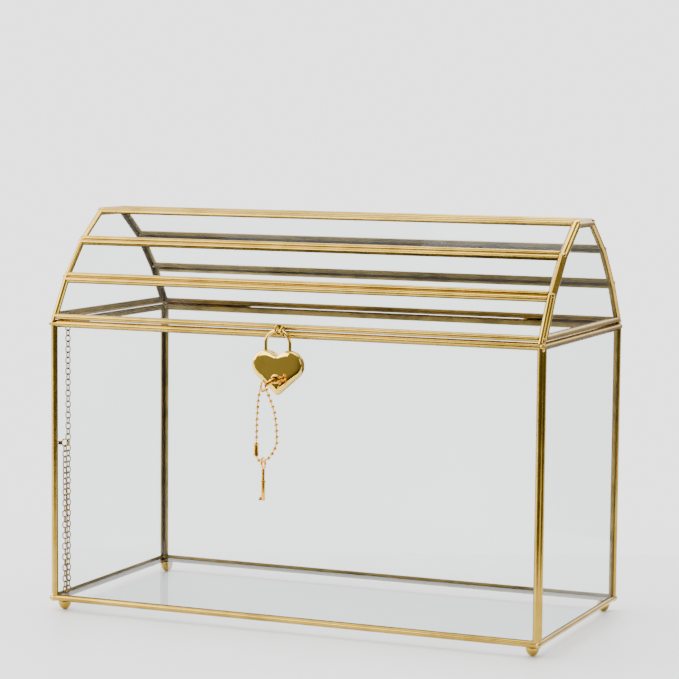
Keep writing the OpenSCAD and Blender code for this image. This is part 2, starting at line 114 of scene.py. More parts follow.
class Nodes:
    """A small helper that adds nodes to a material or world and joins them."""

    def __init__(self, owner):
        owner.use_nodes = True
        self.tree = owner.node_tree
        self.tree.nodes.clear()

    def add(self, kind, **values):
        made = self.tree.nodes.new(kind)
        for key, value in values.items():
            setattr(made, key, value)
        return made

    def join(self, source, target):
        self.tree.links.new(source, target)

    def noise(self, scale, detail=3.0, rough=0.5):
        where = self.add("ShaderNodeTexCoord")
        made = self.add("ShaderNodeTexNoise")
        made.inputs["Scale"].default_value = scale
        made.inputs["Detail"].default_value = detail
        made.inputs["Roughness"].default_value = rough
        self.join(where.outputs["Object"], made.inputs["Vector"])
        return made.outputs["Fac"]

    def ramp(self, value, stops):
        made = self.add("ShaderNodeValToRGB")
        ramp = made.color_ramp
        while len(ramp.elements) < len(stops):
            ramp.elements.new(0.5)
        for element, (place, tone) in zip(ramp.elements, stops):
            element.position = place
            element.color = (*tone, 1.0)
        self.join(value, made.inputs["Fac"])
        return made.outputs["Color"]

    def span(self, value, low, high):
        """Spreads the middle part of a noise's range over low to high."""
        made = self.add("ShaderNodeMapRange")
        made.inputs["From Min"].default_value = 0.3
        made.inputs["From Max"].default_value = 0.7
        made.inputs["To Min"].default_value = low
        made.inputs["To Max"].default_value = high
        self.join(value, made.inputs["Value"])
        return made.outputs["Result"]

    def bump(self, value, strength, distance):
        made = self.add("ShaderNodeBump")
        made.inputs["Strength"].default_value = strength
        made.inputs["Distance"].default_value = distance
        self.join(value, made.inputs["Height"])
        return made.outputs["Normal"]


def metal(name, light, dark, rough, patch, grain, dent, metallic=1.0):
    """Plated metal: tone and gloss vary in soft patches, with a fine uneven grain whose depth is dent."""
    mat = bpy.data.materials.new(name)
    n = Nodes(mat)
    out = n.add("ShaderNodeOutputMaterial")
    bsdf = n.add("ShaderNodeBsdfPrincipled")
    bsdf.inputs["Metallic"].default_value = metallic
    patches = n.noise(patch, 4.0, 0.6)
    n.join(n.ramp(patches, [(0.36, dark), (0.56, light)]), bsdf.inputs["Base Color"])
    n.join(n.span(n.noise(patch * 2.3, 5.0, 0.65), rough[0], rough[1]), bsdf.inputs["Roughness"])
    n.join(n.bump(n.noise(grain, 3.0, 0.6), 0.35, dent), bsdf.inputs["Normal"])
    n.join(bsdf.outputs["BSDF"], out.inputs["Surface"])
    return mat


# Lower than real glass, so that the brass behind a pane stays clear
MIRROR_IOR = 1.2


def clear_glass(name):
    """Thin clear glass: a faint tint, faint smears, and a mirror share by angle on its outer faces."""
    mat = bpy.data.materials.new(name)
    n = Nodes(mat)
    out = n.add("ShaderNodeOutputMaterial")
    see = n.add("ShaderNodeBsdfTransparent")
    tint = n.ramp(n.noise(9.0, 2.0), [(0.35, (0.962, 0.972, 0.970)), (0.65, (0.978, 0.985, 0.984))])
    n.join(tint, see.inputs["Color"])
    shine = n.add("ShaderNodeBsdfGlossy")
    n.join(n.span(n.noise(35.0, 4.0), 0.01, 0.06), shine.inputs["Roughness"])
    fresnel = n.add("ShaderNodeFresnel")
    fresnel.inputs["IOR"].default_value = MIRROR_IOR
    side = n.add("ShaderNodeNewGeometry")
    outer = n.add("ShaderNodeMath", operation="SUBTRACT")
    outer.inputs[0].default_value = 1.0
    n.join(side.outputs["Backfacing"], outer.inputs[1])
    share = n.add("ShaderNodeMath", operation="MULTIPLY")
    n.join(fresnel.outputs["Fac"], share.inputs[0])
    n.join(outer.outputs[0], share.inputs[1])
    mix = n.add("ShaderNodeMixShader")
    n.join(share.outputs[0], mix.inputs["Fac"])
    n.join(see.outputs["BSDF"], mix.inputs[1])
    n.join(shine.outputs["BSDF"], mix.inputs[2])
    n.join(mix.outputs["Shader"], out.inputs["Surface"])
    return mat


BRASS = metal("frame_brass", (0.54, 0.35, 0.055), (0.38, 0.24, 0.032), (0.12, 0.24), 40, 900, 0.000005)
INNER_BRASS = metal(
    "frame_inner", (0.50, 0.335, 0.085), (0.30, 0.20, 0.05), (0.32, 0.45), 60, 900, 0.000005, metallic=0.45,
)
# Dark lines in the strips' fold grooves and along their edges at the glass: patina with painted shade
PATINA_AND_SHADE = metal("frame_patina_and_shade", (0.115, 0.075, 0.028), (0.05, 0.035, 0.014), (0.35, 0.55), 90, 1400, 0.00002)
SOLDER = metal("solder_brass", (0.66, 0.46, 0.13), (0.48, 0.31, 0.07), (0.12, 0.26), 240, 1500, 0.00001)
LOCK_GOLD = metal("lock_gold", (0.88, 0.60, 0.09), (0.80, 0.53, 0.075), (0.03, 0.07), 120, 500, 0.000003)
KEY_GOLD = metal("key_gold", (0.88, 0.47, 0.04), (0.72, 0.34, 0.025), (0.10, 0.20), 300, 1200, 0.000006)
CHAIN_GOLD = metal("chain_gold", (0.30, 0.18, 0.035), (0.18, 0.11, 0.02), (0.24, 0.36), 260, 1200, 0.000006)
STEEL = metal("lock_steel", (0.66, 0.66, 0.68), (0.48, 0.48, 0.50), (0.25, 0.42), 300, 1500, 0.00003)
GLASS = clear_glass("clear_glass")
SLOT_LOOKS = {
    "glass": GLASS, "brass_frame": BRASS, "lock_gold": LOCK_GOLD,
    "key_gold": KEY_GOLD, "chain_gold": CHAIN_GOLD, "steel": STEEL,
}


def paint(obj, mat):
    obj.data.materials.clear()
    obj.data.materials.append(mat)


def paint_cad_nodes():
    slots = {s["node"]: s["material_slot"] for s in frame["record"]["subparts"]}
    for name, obj in frame["nodes"].items():
        paint(obj, SLOT_LOOKS[slots[name]])


paint_cad_nodes()


# ---- Mesh helpers ----


class Build:
    """Vertices and faces in millimetres about the middle of the chest, gathered for one object."""

    def __init__(self):
        self.verts, self.faces = [], []

    def ring(self, points):
        start = len(self.verts)
        self.verts.extend(Vector(p) for p in points)
        return list(range(start, len(self.verts)))

    def bridge(self, a, b):
        count = len(a)
        for i in range(count):
            j = (i + 1) % count
            self.faces.append((a[i], a[j], b[j], b[i]))

    def cap(self, ring):
        self.faces.append(tuple(ring))

    def loft(self, rings, loop=False):
        """Skins a row of rings and closes its ends, or joins the last ring to the first."""
        made = [self.ring(r) for r in rings]
        for a, b in zip(made, made[1:]):
            self.bridge(a, b)
        if loop:
            self.bridge(made[-1], made[0])
        else:
            self.cap(list(reversed(made[0])))
            self.cap(made[-1])

    def finish(self, name, mat, body, replaces=(), sharp=40, frame_at=at):
        """Makes the object, puts it on a moving body and lets it stand in for the CAD nodes it replaces."""
        mesh = bpy.data.meshes.new(name)
        mesh.from_pydata([frame_at(*v) for v in self.verts], [], self.faces)
        bm = bmesh.new()
        bm.from_mesh(mesh)
        bmesh.ops.recalc_face_normals(bm, faces=bm.faces)
        bm.to_mesh(mesh)
        bm.free()
        mesh.polygons.foreach_set("use_smooth", [True] * len(mesh.polygons))
        mesh.set_sharp_from_angle(angle=math.radians(sharp))
        mesh.materials.append(mat)
        obj = bpy.data.objects.new(name, mesh)
        bpy.context.scene.collection.objects.link(obj)
        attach(obj, body)
        if replaces:
            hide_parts(*replaces)
        return obj


def unit(v):
    return Vector(v).normalized()


# ---- Brass strips ----

CROWN_STEPS = 8
CROWN_POWER = 2.4
FOLD_GAP = 0.1
GROOVE = 0.15
INNER_DEPTH = 0.44
LIP_DEPTH = 0.36
LIP_SHARE = 0.7
SHARPEST_FOLD = 0.35


def strip_profile(corner, along_a, along_b, crown_a=CROWN, crown_b=CROWN):
    """Closed section of a folded strip: two round-backed flanges that meet at the corner."""
    a, b, corner = unit(along_a), unit(along_b), Vector(corner)
    out_a = -(b - a * b.dot(a)).normalized()
    out_b = -(a - b * a.dot(b)).normalized()

    def outside(d, out, crown):
        points = []
        for k in range(CROWN_STEPS + 1):
            f = k / CROWN_STEPS
            rise = crown * (1 - abs(2 * f - 1) ** CROWN_POWER) - GROOVE * max(0.0, 1 - f * CROWN_STEPS)
            points.append(corner + d * (FOLD_GAP + f * (FLANGE - FOLD_GAP)) + out * rise)
        return points

    def lip(d, out):
        return [
            corner + d * (FLANGE + LIP_SHARE * DARK_LIP_W) - out * LIP_DEPTH,
            corner + d * (FLANGE + DARK_LIP_W) - out * INNER_DEPTH,
        ]

    fold = INNER_DEPTH / max(SHARPEST_FOLD, a.cross(b).length)
    return (
        list(reversed(outside(a, out_a, crown_a))) + outside(b, out_b, crown_b)
        + lip(b, out_b) + [corner + (a + b) * fold] + list(reversed(lip(a, out_a)))
    )


# Edges of the section, counted from the tip of the first flange: the fold's groove and the two lips at the
# flanges' tips are dark, patina with painted shade in the crease and along the glass, and the side that
# faces the glass is dull
FACE_END = 2 * CROWN_STEPS + 1
PROFILE_POINTS = 2 * (CROWN_STEPS + 1) + 5
PATINA_AND_SHADE_EDGES = {CROWN_STEPS, FACE_END, FACE_END + 1, FACE_END + 5, FACE_END + 4}
DULL_EDGES = {FACE_END + 2, FACE_END + 3}


def finish_strip(build, name, body, node):
    """Makes the strip and gives its dark lines of patina with painted shade, and its inner side, their own
    finishes.
    """
    obj = build.finish(name, BRASS, body, [node])
    obj.data.materials.append(PATINA_AND_SHADE)
    obj.data.materials.append(INNER_BRASS)
    for face in obj.data.polygons:
        places = sorted({v % PROFILE_POINTS for v in face.vertices})
        if len(places) != 2:
            continue
        edge = places[0] if places[1] - places[0] == 1 else places[1]
        # The groove and the lips take patina with painted shade
        if edge in PATINA_AND_SHADE_EDGES:
            face.material_index = 1
        elif edge in DULL_EDGES:
            face.material_index = 2


def cut(points, direction, plane_at, plane_facing):
    """Each point moved along the direction onto a plane."""
    d, f = Vector(direction), Vector(plane_facing)
    return [p + d * ((Vector(plane_at) - p).dot(f) / d.dot(f)) for p in points]


def add_strip(build, profile, start, start_facing, end, end_facing):
    """Runs a section from a plane through the start to a plane through the end."""
    d = unit(Vector(end) - Vector(start))
    stations = [cut(profile, d, start, start_facing)]
    far = cut(profile, d, end, end_facing)
    for f in (0.02, 0.5, 0.98):
        stations.append([p.lerp(q, f) for p, q in zip(stations[0], far)])
    stations.append(far)
    build.loft(stations)


def chest_rails():
    """Four base rails and four rim rails, mitred in plan."""
    sides = {
        "front": ((-HALF_L, -HALF_W), (HALF_L, -HALF_W), (0, 1)),
        "right": ((HALF_L, -HALF_W), (HALF_L, HALF_W), (-1, 0)),
        "back": ((HALF_L, HALF_W), (-HALF_L, HALF_W), (0, -1)),
        "left": ((-HALF_L, HALF_W), (-HALF_L, -HALF_W), (1, 0)),
    }
    for level, z, rise in (("base", FOOT_H, 1), ("rim", RIM_Z, -1)):
        for side, (p, q, inward) in sides.items():
            start, end = Vector((*p, z)), Vector((*q, z))
            d = (end - start).normalized()
            inward3 = Vector((*inward, 0))
            profile = strip_profile(start, (0, 0, rise), inward3, crown_b=LOW_CROWN)
            build = Build()
            add_strip(build, profile, start, d - inward3, end, d + inward3)
            finish_strip(build, f"{level}_rail_{side}_strip", "chest", f"{level}_rail_{side}")


# How far a strip's end runs under the strip that crosses it
POST_TUCK = 0.4
RAIL_TUCK = 0.2
# How far the lid's long rails stop short of the left outer edge
RAIL_INSET = 0.3


def chest_posts():
    """Four upright corner strips, square cut, between the base and the rim."""
    for sx, across in ((-1, "left"), (1, "right")):
        for sy, depth in ((-1, "front"), (1, "back")):
            start = Vector((sx * HALF_L, sy * HALF_W, FOOT_H + FLANGE - POST_TUCK))
            end = Vector((sx * HALF_L, sy * HALF_W, RIM_Z - FLANGE + POST_TUCK))
            profile = strip_profile(start, (-sx, 0, 0), (0, -sy, 0))
            build = Build()
            add_strip(build, profile, start, (0, 0, 1), end, (0, 0, 1))
            finish_strip(build, f"post_{depth}_{across}_strip", "chest", f"post_{depth}_{across}")


def lid_corner(i, x):
    """Corner i of the lid's outline, counted from the front rim and wrapping round."""
    y, z = LID_OUTLINE[i % 8]
    return Vector((x, y, LID_Z + z))


LID_RAILS = [
    "lid_rim_front", "knee_rail_front_low", "knee_rail_front_high", "top_rail_front",
    "top_rail_back", "knee_rail_back_high", "knee_rail_back_low", "lid_rim_back",
]


def lid_rails():
    """Long rails of the lid: at the left they reach the outer edge, at the right the end frame."""
    for i, name in enumerate(LID_RAILS):
        start = lid_corner(i, -HALF_L + RAIL_INSET)
        end = lid_corner(i, HALF_L - FLANGE + RAIL_TUCK)
        back, on = lid_corner(i - 1, start.x) - start, lid_corner(i + 1, start.x) - start
        build = Build()
        crowns = (CROWN if i else LOW_CROWN, CROWN if i < 7 else LOW_CROWN)
        add_strip(build, strip_profile(start, back, on, *crowns), start, (1, 0, 0), end, (1, 0, 0))
        finish_strip(build, f"{name}_strip", "lid", name)


def end_frames():
    """Eight mitred strips round each end of the lid."""
    for side, name in ((-1, "end_frame_left"), (1, "end_frame_right")):
        build = Build()
        x = side * HALF_L
        for i in range(8):
            here, on = lid_corner(i, x), lid_corner(i + 1, x)
            before, after = lid_corner(i - 1, x), lid_corner(i + 2, x)
            d = (on - here).normalized()
            inside = Vector((0, d.z, -d.y))
            start_facing = d + (here - before).normalized()
            end_facing = d + (after - on).normalized()
            profile = strip_profile(here, inside, (-side, 0, 0), crown_b=LOW_CROWN if i == 7 else CROWN)
            add_strip(build, profile, here, start_facing, on, end_facing)
        finish_strip(build, f"{name}_strips", "lid", name)


# ---- Solder ----

SOLDER_INSET = 0.5
# Height and radius of each bead on a corner of the chest
POST_BEADS = [(FOOT_H + 1.3, 1.75), (FOOT_H + FLANGE, 1.1), (RIM_Z - FLANGE, 1.1), (RIM_Z - 1.3, 1.7)]
LID_BEAD_R = 1.35
LID_MIDDLE_H = 20
# How far the lid's beads sink towards its middle, at the knees and at the rim
KNEE_SINK, RIM_SINK = 0.5, 1.1


def blob(build, centre, radius, seed):
    """A small uneven bead of solder."""
    bm = bmesh.new()
    bmesh.ops.create_icosphere(bm, subdivisions=3, radius=1.0)
    offset = len(build.verts)
    for v in bm.verts:
        swell = 1 + 0.22 * noise.noise(v.co * 1.6 + Vector((seed, seed * 0.37, 0)))
        build.verts.append(Vector(centre) + Vector(v.co[k] * radius * swell for k in range(3)))
    build.faces.extend(tuple(offset + v.index for v in f.verts) for f in bm.faces)
    bm.free()


def chest_solder():
    build = Build()
    seed = 1
    for sx in (-1, 1):
        for sy in (-1, 1):
            for z, radius in POST_BEADS:
                seed += 1
                blob(build, (sx * (HALF_L - SOLDER_INSET), sy * (HALF_W - SOLDER_INSET), z), radius, seed)
    build.finish("chest_solder", SOLDER, "chest")


def lid_solder():
    build = Build()
    seed = 40
    for side in (-1, 1):
        for i in range(8):
            seed += 1
            p = lid_corner(i, side * (HALF_L - SOLDER_INSET))
            middle = Vector((p.x, 0, LID_Z + LID_MIDDLE_H))
            p = p + (middle - p).normalized() * (KNEE_SINK if 0 < i < 7 else RIM_SINK)
            blob(build, p, LID_BEAD_R, seed)
    build.finish("lid_solder", SOLDER, "lid")


# ---- Feet ----


def lathe(build, profile, place, steps=32):
    """Revolves (radius, height) pairs about the local Z axis and maps each point through place()."""
    angles = [2 * math.pi * k / steps for k in range(steps)]
    build.loft([[place(r * math.cos(a), r * math.sin(a), h) for a in angles] for r, h in profile])


# Radius and height up the side of a ball foot
FOOT_PROFILE = [
    (0.75, 0.0), (1.15, 0.1), (2.0, 0.75), (2.65, 1.5), (3.1, 2.35), (3.38, 3.2),
    (3.5, 3.9), (3.52, 4.4), (3.44, 4.9), (3.2, 5.25), (2.9, 5.4), (2.9, 5.55),
]


FOOT_INSET = 5


def feet():
    build = Build()
    for sx in (-1, 1):
        for sy in (-1, 1):
            cx, cy = sx * (HALF_L - FOOT_INSET), sy * (HALF_W - FOOT_INSET)
            lathe(build, FOOT_PROFILE, lambda x, y, z: Vector((cx + x, cy + y, z)))
    build.finish("round_feet", BRASS, "chest", ["feet"])


# ---- Padlock ----

LOCK_LOW, LOCK_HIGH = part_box("lock_front_shell")
_, BACK_PLATE_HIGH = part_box("lock_back_plate")
HEART_W, HEART_H, HEART_T = 28.4, 23.6, 5.5
LOBE_R = 0.545 * HEART_W / 2
LOBE_X = HEART_W / 2 - LOBE_R
TIP_Z = HEART_H - LOBE_R
TIP_CUT = 0.25
KEYHOLE_Z = -7.0
HALF_T = HEART_T / 2
SHELL_JOIN = HALF_T - 0.8
LOCK_AT = Vector((
    (LOCK_LOW[0] + LOCK_HIGH[0]) / 2,
    (LOCK_LOW[1] + BACK_PLATE_HIGH[1]) / 2,
    LOCK_HIGH[2] - LOBE_R * MM,
))


def on_lock(x, y, z):
    """A point given in millimetres about the padlock's middle, level with the centres of its lobes."""
    return LOCK_AT + Vector((x, y, z)) * MM


def heart_outline(steps=28):
    """Heart drawn clockwise from the cleft: two round lobes and two straight sides to the tip."""
    tip_angle = math.atan2(LOBE_X, TIP_Z) + math.asin(LOBE_R / math.hypot(LOBE_X, TIP_Z))
    start = math.acos(-LOBE_X / LOBE_R)
    end = -tip_angle
    right = []
    for k in range(steps + 1):
        a = start + (end - start) * k / steps
        right.append((LOBE_X + LOBE_R * math.cos(a), LOBE_R * math.sin(a)))
    side = right[-1]
    for f in (0.2, 0.4, 0.6, 0.8, 0.93):
        right.append((side[0] * (1 - f), side[1] + (-TIP_Z - side[1]) * f))
    tip = (0.0, -TIP_Z + TIP_CUT)
    left = [(-x, z) for x, z in reversed(right)]
    return right + [tip] + left[:-1]


HEART = heart_outline()
HEART_MID = (0.0, -1.5)
# The rounder outline that the rings fade to: half its width, and its reach up and down
EGG_HALF, EGG_UP, EGG_DOWN = 10.5, 8.6, 11.5
FADE_SPAN = 0.35


def heart_ring(scale, y):
    """The outline drawn in towards the middle; the cleft and the tip fade out on the way."""
    fade = min(1.0, max(0.0, (1 - scale) / FADE_SPAN))
    fade = fade * fade * (3 - 2 * fade)
    ring = []
    for x, z in HEART:
        x, z = x - HEART_MID[0], z - HEART_MID[1]
        angle = math.atan2(z, x)
        egg = (EGG_HALF * math.cos(angle), (EGG_UP if z > 0 else EGG_DOWN) * math.sin(angle))
        x, z = x + (egg[0] - x) * fade, z + (egg[1] - z) * fade
        ring.append((HEART_MID[0] + x * scale, y, HEART_MID[1] + z * scale))
    return ring


# Share of the outline and depth behind the front, from the side seam to the middle of the face
HEART_DOME = [
    (0.985, 4.70), (1.0, 4.58), (1.0, 2.3), (0.993, 1.75), (0.975, 1.25), (0.945, 0.9), (0.9, 0.62),
    (0.83, 0.4), (0.74, 0.25), (0.62, 0.14), (0.48, 0.07), (0.33, 0.025), (0.18, 0.005), (0.02, 0.0),
]
# The same for the hollow inside the shell, whose outlines are all drawn in by one more share
HEART_HOLLOW = [(1.0, 4.7), (1.0, 2.9), (0.9, 2.4), (0.6, 1.5), (0.02, 1.0)]
HOLLOW_SHARE = 0.9
# Share of the outline and distance behind the padlock's middle round the back plate's edge
BACK_EDGE = [
    (0.985, SHELL_JOIN), (1.0, SHELL_JOIN + 0.12), (1.0, HALF_T - 0.3),
    (0.985, HALF_T - 0.08), (0.96, HALF_T),
]
# Holes in the shell: a round keyway with a slot below it, and a slot for each leg of the bow
KEYWAY_R = 1.45
KEYWAY_SLOT = (0.55, 2.9)
CUT_DEPTH = (-HALF_T - 2, -HALF_T + 1.6)
RIGHT_SLOT = (4.7, 8.5)
LEFT_SLOT = (-9.9, -5.75)
SLOT_HALF = 1.15
SLOT_Z = (3.2, 9.0)


def cutter(name, build):
    return build.finish(name, LOCK_GOLD, "padlock", frame_at=on_lock)


def carve(obj, tools):
    """Cuts the tools out of a mesh and removes them."""
    for tool in tools:
        mod = obj.modifiers.new("cut", "BOOLEAN")
        mod.operation = "DIFFERENCE"
        mod.solver = "EXACT"
        mod.object = tool
    graph = bpy.context.evaluated_depsgraph_get()
    mesh = bpy.data.meshes.new_from_object(obj.evaluated_get(graph))
    obj.modifiers.clear()
    obj.data = mesh
    mesh.polygons.foreach_set("use_smooth", [True] * len(mesh.polygons))
    mesh.set_sharp_from_angle(angle=math.radians(35))
    for tool in tools:
        bpy.data.objects.remove(tool, do_unlink=True)


def box_build(low, high):
    """A box between two corners, used only to cut with."""
    build = Build()
    (x0, y0, z0), (x1, y1, z1) = low, high
    build.loft([[(x0, y0, z), (x1, y0, z), (x1, y1, z), (x0, y1, z)] for z in (z0, z1)])
    return build


def leg_slot(name, across):
    """The cutter for one leg's slot."""
    return cutter(name, box_build((across[0], -SLOT_HALF, SLOT_Z[0]), (across[1], SLOT_HALF, SLOT_Z[1])))


def heart_front():
    """Domed and hollow front shell with its keyway and the two slots of the bow."""
    shell = Build()
    outside = [shell.ring(heart_ring(share, -HALF_T + depth)) for share, depth in HEART_DOME]
    for a, b in zip(outside, outside[1:]):
        shell.bridge(a, b)
    shell.cap(outside[-1])
    inside = [shell.ring(heart_ring(HOLLOW_SHARE * share, -HALF_T + depth)) for share, depth in HEART_HOLLOW]
    shell.bridge(outside[0], inside[0])
    for a, b in zip(inside, inside[1:]):
        shell.bridge(a, b)
    shell.cap(inside[-1])
    front = shell.finish(
        "heart_front", LOCK_GOLD, "padlock", ["lock_front_shell"], sharp=35, frame_at=on_lock,
    )
    near, far = CUT_DEPTH
    half, drop = KEYWAY_SLOT
    keyway = Build()
    lathe(keyway, [(KEYWAY_R, near), (KEYWAY_R, far)], lambda x, y, z: Vector((x, z, KEYHOLE_Z + y)))
    carve(front, [
        cutter("cut_keyway", keyway),
        cutter("cut_keyway_foot", box_build((-half, near, KEYHOLE_Z - drop), (half, far, KEYHOLE_Z))),
        leg_slot("cut_right_leg", RIGHT_SLOT),
        leg_slot("cut_left_leg", LEFT_SLOT),
    ])


def heart_back():
    back = Build()
    back.loft([heart_ring(share, y) for share, y in BACK_EDGE])
    back.finish("heart_back", LOCK_GOLD, "padlock", ["lock_back_plate"], sharp=35, frame_at=on_lock)


# Radius and height above the shell round the section of the keyhole's ring
KEYHOLE_RING = [(1.45, 0.1), (1.5, 0.42), (1.7, 0.55), (2.15, 0.5), (2.42, 0.3), (2.5, 0.0), (1.45, -0.1)]
RING_SINK = 0.06


def escutcheon():
    """Raised ring round the keyhole."""
    build = Build()
    steps = 40
    rings = []
    for k in range(steps):
        a = 2 * math.pi * k / steps
        ring = []
        for r, rise in KEYHOLE_RING:
            ring.append((r * math.cos(a), -HALF_T - rise + RING_SINK, KEYHOLE_Z + r * math.sin(a)))
        rings.append(ring)
    build.loft(rings, loop=True)
    build.finish("keyhole_ring", LOCK_GOLD, "padlock", ["keyhole_plate"], frame_at=on_lock)


SHACKLE_R = 0.9
LEG_X = 6.85
ARC_Z = 11.0
# Heights of the wire's stations below and above the notch of the free leg, and down the pivoted leg
FREE_END_Z = (0.2, 0.5)
FREE_LEG_Z = (5, 9)
PIVOT_LEG_Z = (9, 5, 3.8, 3.5)
# The latch's notch in the free leg
NOTCH_Z = (1.2, 2.8)
NOTCH_X = LEG_X - 0.4
NOTCH_EDGE = 0.06


def tube(build, path, radius, steps, shape):
    """A round wire along a path of points, kept untwisted; shape() moves each point of its skin."""
    path = [Vector(p) for p in path]
    angles = [2 * math.pi * k / steps for k in range(steps)]
    side = (path[1] - path[0]).normalized().orthogonal().normalized()
    rings = []
    for i, p in enumerate(path):
        before, after = path[max(i - 1, 0)], path[min(i + 1, len(path) - 1)]
        t = (after - before).normalized()
        side = (side - t * side.dot(t)).normalized()
        other = t.cross(side)
        ring = [p + side * (radius * math.cos(a)) + other * (radius * math.sin(a)) for a in angles]
        rings.append([shape(q) for q in ring])
    build.loft(rings)


def notched(p):
    """A point of the free leg, pushed back to the flat of the notch that the latch enters."""
    in_notch = p.x > 0 and NOTCH_Z[0] - 0.01 < p.z < NOTCH_Z[1] + 0.01
    return Vector((max(p.x, NOTCH_X), p.y, p.z)) if in_notch else p


def shackle():
    """Bow of round wire, seen above the heart, with both legs running into it."""
    build = Build()
    turns = 48
    low, high = NOTCH_Z
    notch = (low - NOTCH_EDGE, low, high, high + NOTCH_EDGE)
    path = [(LEG_X, 0, z) for z in (*FREE_END_Z, *notch, *FREE_LEG_Z)]
    for k in range(turns + 1):
        a = math.pi * k / turns
        path.append((LEG_X * math.cos(a), 0, ARC_Z + LEG_X * math.sin(a)))
    path += [(-LEG_X, 0, z) for z in PIVOT_LEG_Z]
    tube(build, path, SHACKLE_R, 24, notched)
    build.finish("shackle_bow", LOCK_GOLD, "shackle", ["shackle"], frame_at=on_lock)


# ---- Keys and bead chain ----

KEY_LEN = 19.4
# How far behind the padlock's middle the key's tip reaches
KEY_TIP_Y = 1.4
BOW_R = 2.75
BOW_WIRE_R = 0.5
BOW_WIRE_HALF_T = 0.53
DROOP = math.radians(8)
KEY_REACH = KEY_LEN - KEY_TIP_Y - HALF_T
# The hanging key's bow, sideways and down from the lower wire of the other key's bow
SPARE_AT = (0.2, -37.2)
# The lower wire of the bow of the key in the lock
HOOK = Vector((
    0,
    -HALF_T - KEY_REACH * math.cos(DROOP) + BOW_R * math.sin(DROOP),
    KEYHOLE_Z - KEY_REACH * math.sin(DROOP) - BOW_R * math.cos(DROOP),
))

# Radius and height down the shaft of a key, whose bow's centre is at height 0
SHAFT = [
    (0.35, -2.5), (0.7, -2.75), (0.72, -3.6), (1.15, -3.75), (1.2, -4.05), (0.78, -4.2), (0.78, -4.9),
    (1.0, -5.02), (1.0, -5.5), (0.78, -5.62), (0.78, -6.3), (1.0, -6.42), (1.0, -6.9), (0.78, -7.02),
    (0.78, -8.6), (0.85, -8.9), (1.25, -9.1), (1.3, -9.6), (1.08, -9.8), (1.05, -12.0), (1.05, -19.1),
    (0.95, -19.4), (0.6, -19.4), (0.56, -19.2), (0.55, -15.5), (0.05, -15.4),
]
# Outline of the key's bit, sideways and along the shaft
KEY_BIT = [
    (-0.6, -17.55), (-2.35, -17.55), (-2.4, -17.95), (-1.75, -18.0),
    (-1.75, -18.35), (-2.4, -18.4), (-2.35, -19.15), (-0.6, -19.15),
]
BIT_HALF_T = 0.35


def in_lock(x, y, z):
    """A point of the key in the keyhole, from the key's own frame to the padlock's."""
    y, z = -z - KEY_REACH, y
    c, s = math.cos(DROOP), math.sin(DROOP)
    return on_lock(x, -HALF_T + y * c - z * s, KEYHOLE_Z + y * s + z * c)


def hanging(x, y, z):
    """A point of the spare key, which hangs turned by an eighth of a turn."""
    c = math.sqrt(0.5)
    return on_lock(*(HOOK + Vector((SPARE_AT[0] + c * (x - y), c * (x + y), SPARE_AT[1] + z))))


def key_mesh(name, node, body, place):
    """A key with a round bow, a collared hollow shaft and a small notched bit."""
    build = Build()
    steps = 48
    rings = []
    for k in range(steps):
        a = 2 * math.pi * k / steps
        ring = []
        for m in range(12):
            b = 2 * math.pi * m / 12
            r = BOW_R + BOW_WIRE_R * math.cos(b)
            ring.append((BOW_WIRE_HALF_T * math.sin(b), r * math.cos(a), r * math.sin(a)))
        rings.append(ring)
    build.loft(rings, loop=True)
    lathe(build, SHAFT, lambda x, y, z: Vector((x, y, z)), 24)
    build.loft([[(x, y, z) for x, z in KEY_BIT] for y in (-BIT_HALF_T, BIT_HALF_T)])
    build.finish(name, KEY_GOLD, body, [node], frame_at=place)


def keys():
    key_mesh("turning_key", "lock_key", "key", in_lock)
    key_mesh("hanging_key", "spare_key", "spare_key", hanging)


# The chain's route hangs in the XZ plane from the lower wire of the key's bow
CHAIN_ROUTE = [
    (0, 0.95), (-1.58, 0.95), (-2.6, -2), (-3.1, -6), (-3.6, -14), (-3.9, -27), (-3.9, -34),
    (-3, -35.8), (-1, -36.4), (1, -36.1), (3.4, -34.2), (6.2, -30.6), (7.8, -25.8), (7.4, -18),
    (6.2, -10), (4.2, -5), (2.9, -1.9), (1.58, 0.95), (0, 0.95),
]
CONNECTOR_X = -3.9
CONNECTOR_Z = (-33.8, -27.2)
CONNECTOR_BORE = 0.98
# Radius and distance from the end up the connector's rolled rim
CONNECTOR_RIM = [(1.28, 0), (1.36, 0.2), (1.28, 0.45), (1.22, 0.9)]
BEAD_R = 1.0
INSIDE_SHARE = 0.8
ROD_R = 0.26
BEAD_COUNT = 27


def route_points(count):
    """Evenly spaced points on the closed route."""
    route = [Vector((x, 0, z)) for x, z in CHAIN_ROUTE]
    steps = [(b - a).length for a, b in zip(route, route[1:])]
    total = sum(steps)
    points = []
    for k in range(count):
        s = (k + 0.5) * total / count
        for a, b, step in zip(route, route[1:], steps):
            if s <= step:
                points.append(a.lerp(b, s / step))
                break
            s -= step
    return points


def bead(build, centre, on, radius):
    """One bead at a point of the route, with the rod that runs on to the next one."""
    axis = on.normalized()
    side = axis.cross(Vector((0, 1, 0)))
    turn = Matrix((side, Vector((0, 1, 0)), axis)).transposed()
    profile = [(0.02, -radius)]
    for m in range(1, 14):
        a = math.pi * m / 14
        profile.append((radius * math.sin(a), -radius * math.cos(a)))
    profile += [(ROD_R, 0.98 * radius), (ROD_R, on.length)]
    lathe(build, profile, lambda x, y, z: HOOK + centre + turn @ Vector((x, y, z)), 20)


def bead_chain():
    """The closed loop of beads, smaller where they sit inside the connector."""
    build = Build()
    points = route_points(BEAD_COUNT)
    for k, p in enumerate(points):
        inside = p.x < 0 and CONNECTOR_Z[0] - 0.5 < p.z < CONNECTOR_Z[1] + 0.5
        bead(build, p, points[(k + 1) % BEAD_COUNT] - p, BEAD_R * (INSIDE_SHARE if inside else 1))
    build.finish("ball_chain", KEY_GOLD, "bead_chain", ["bead_chain"], frame_at=on_lock)


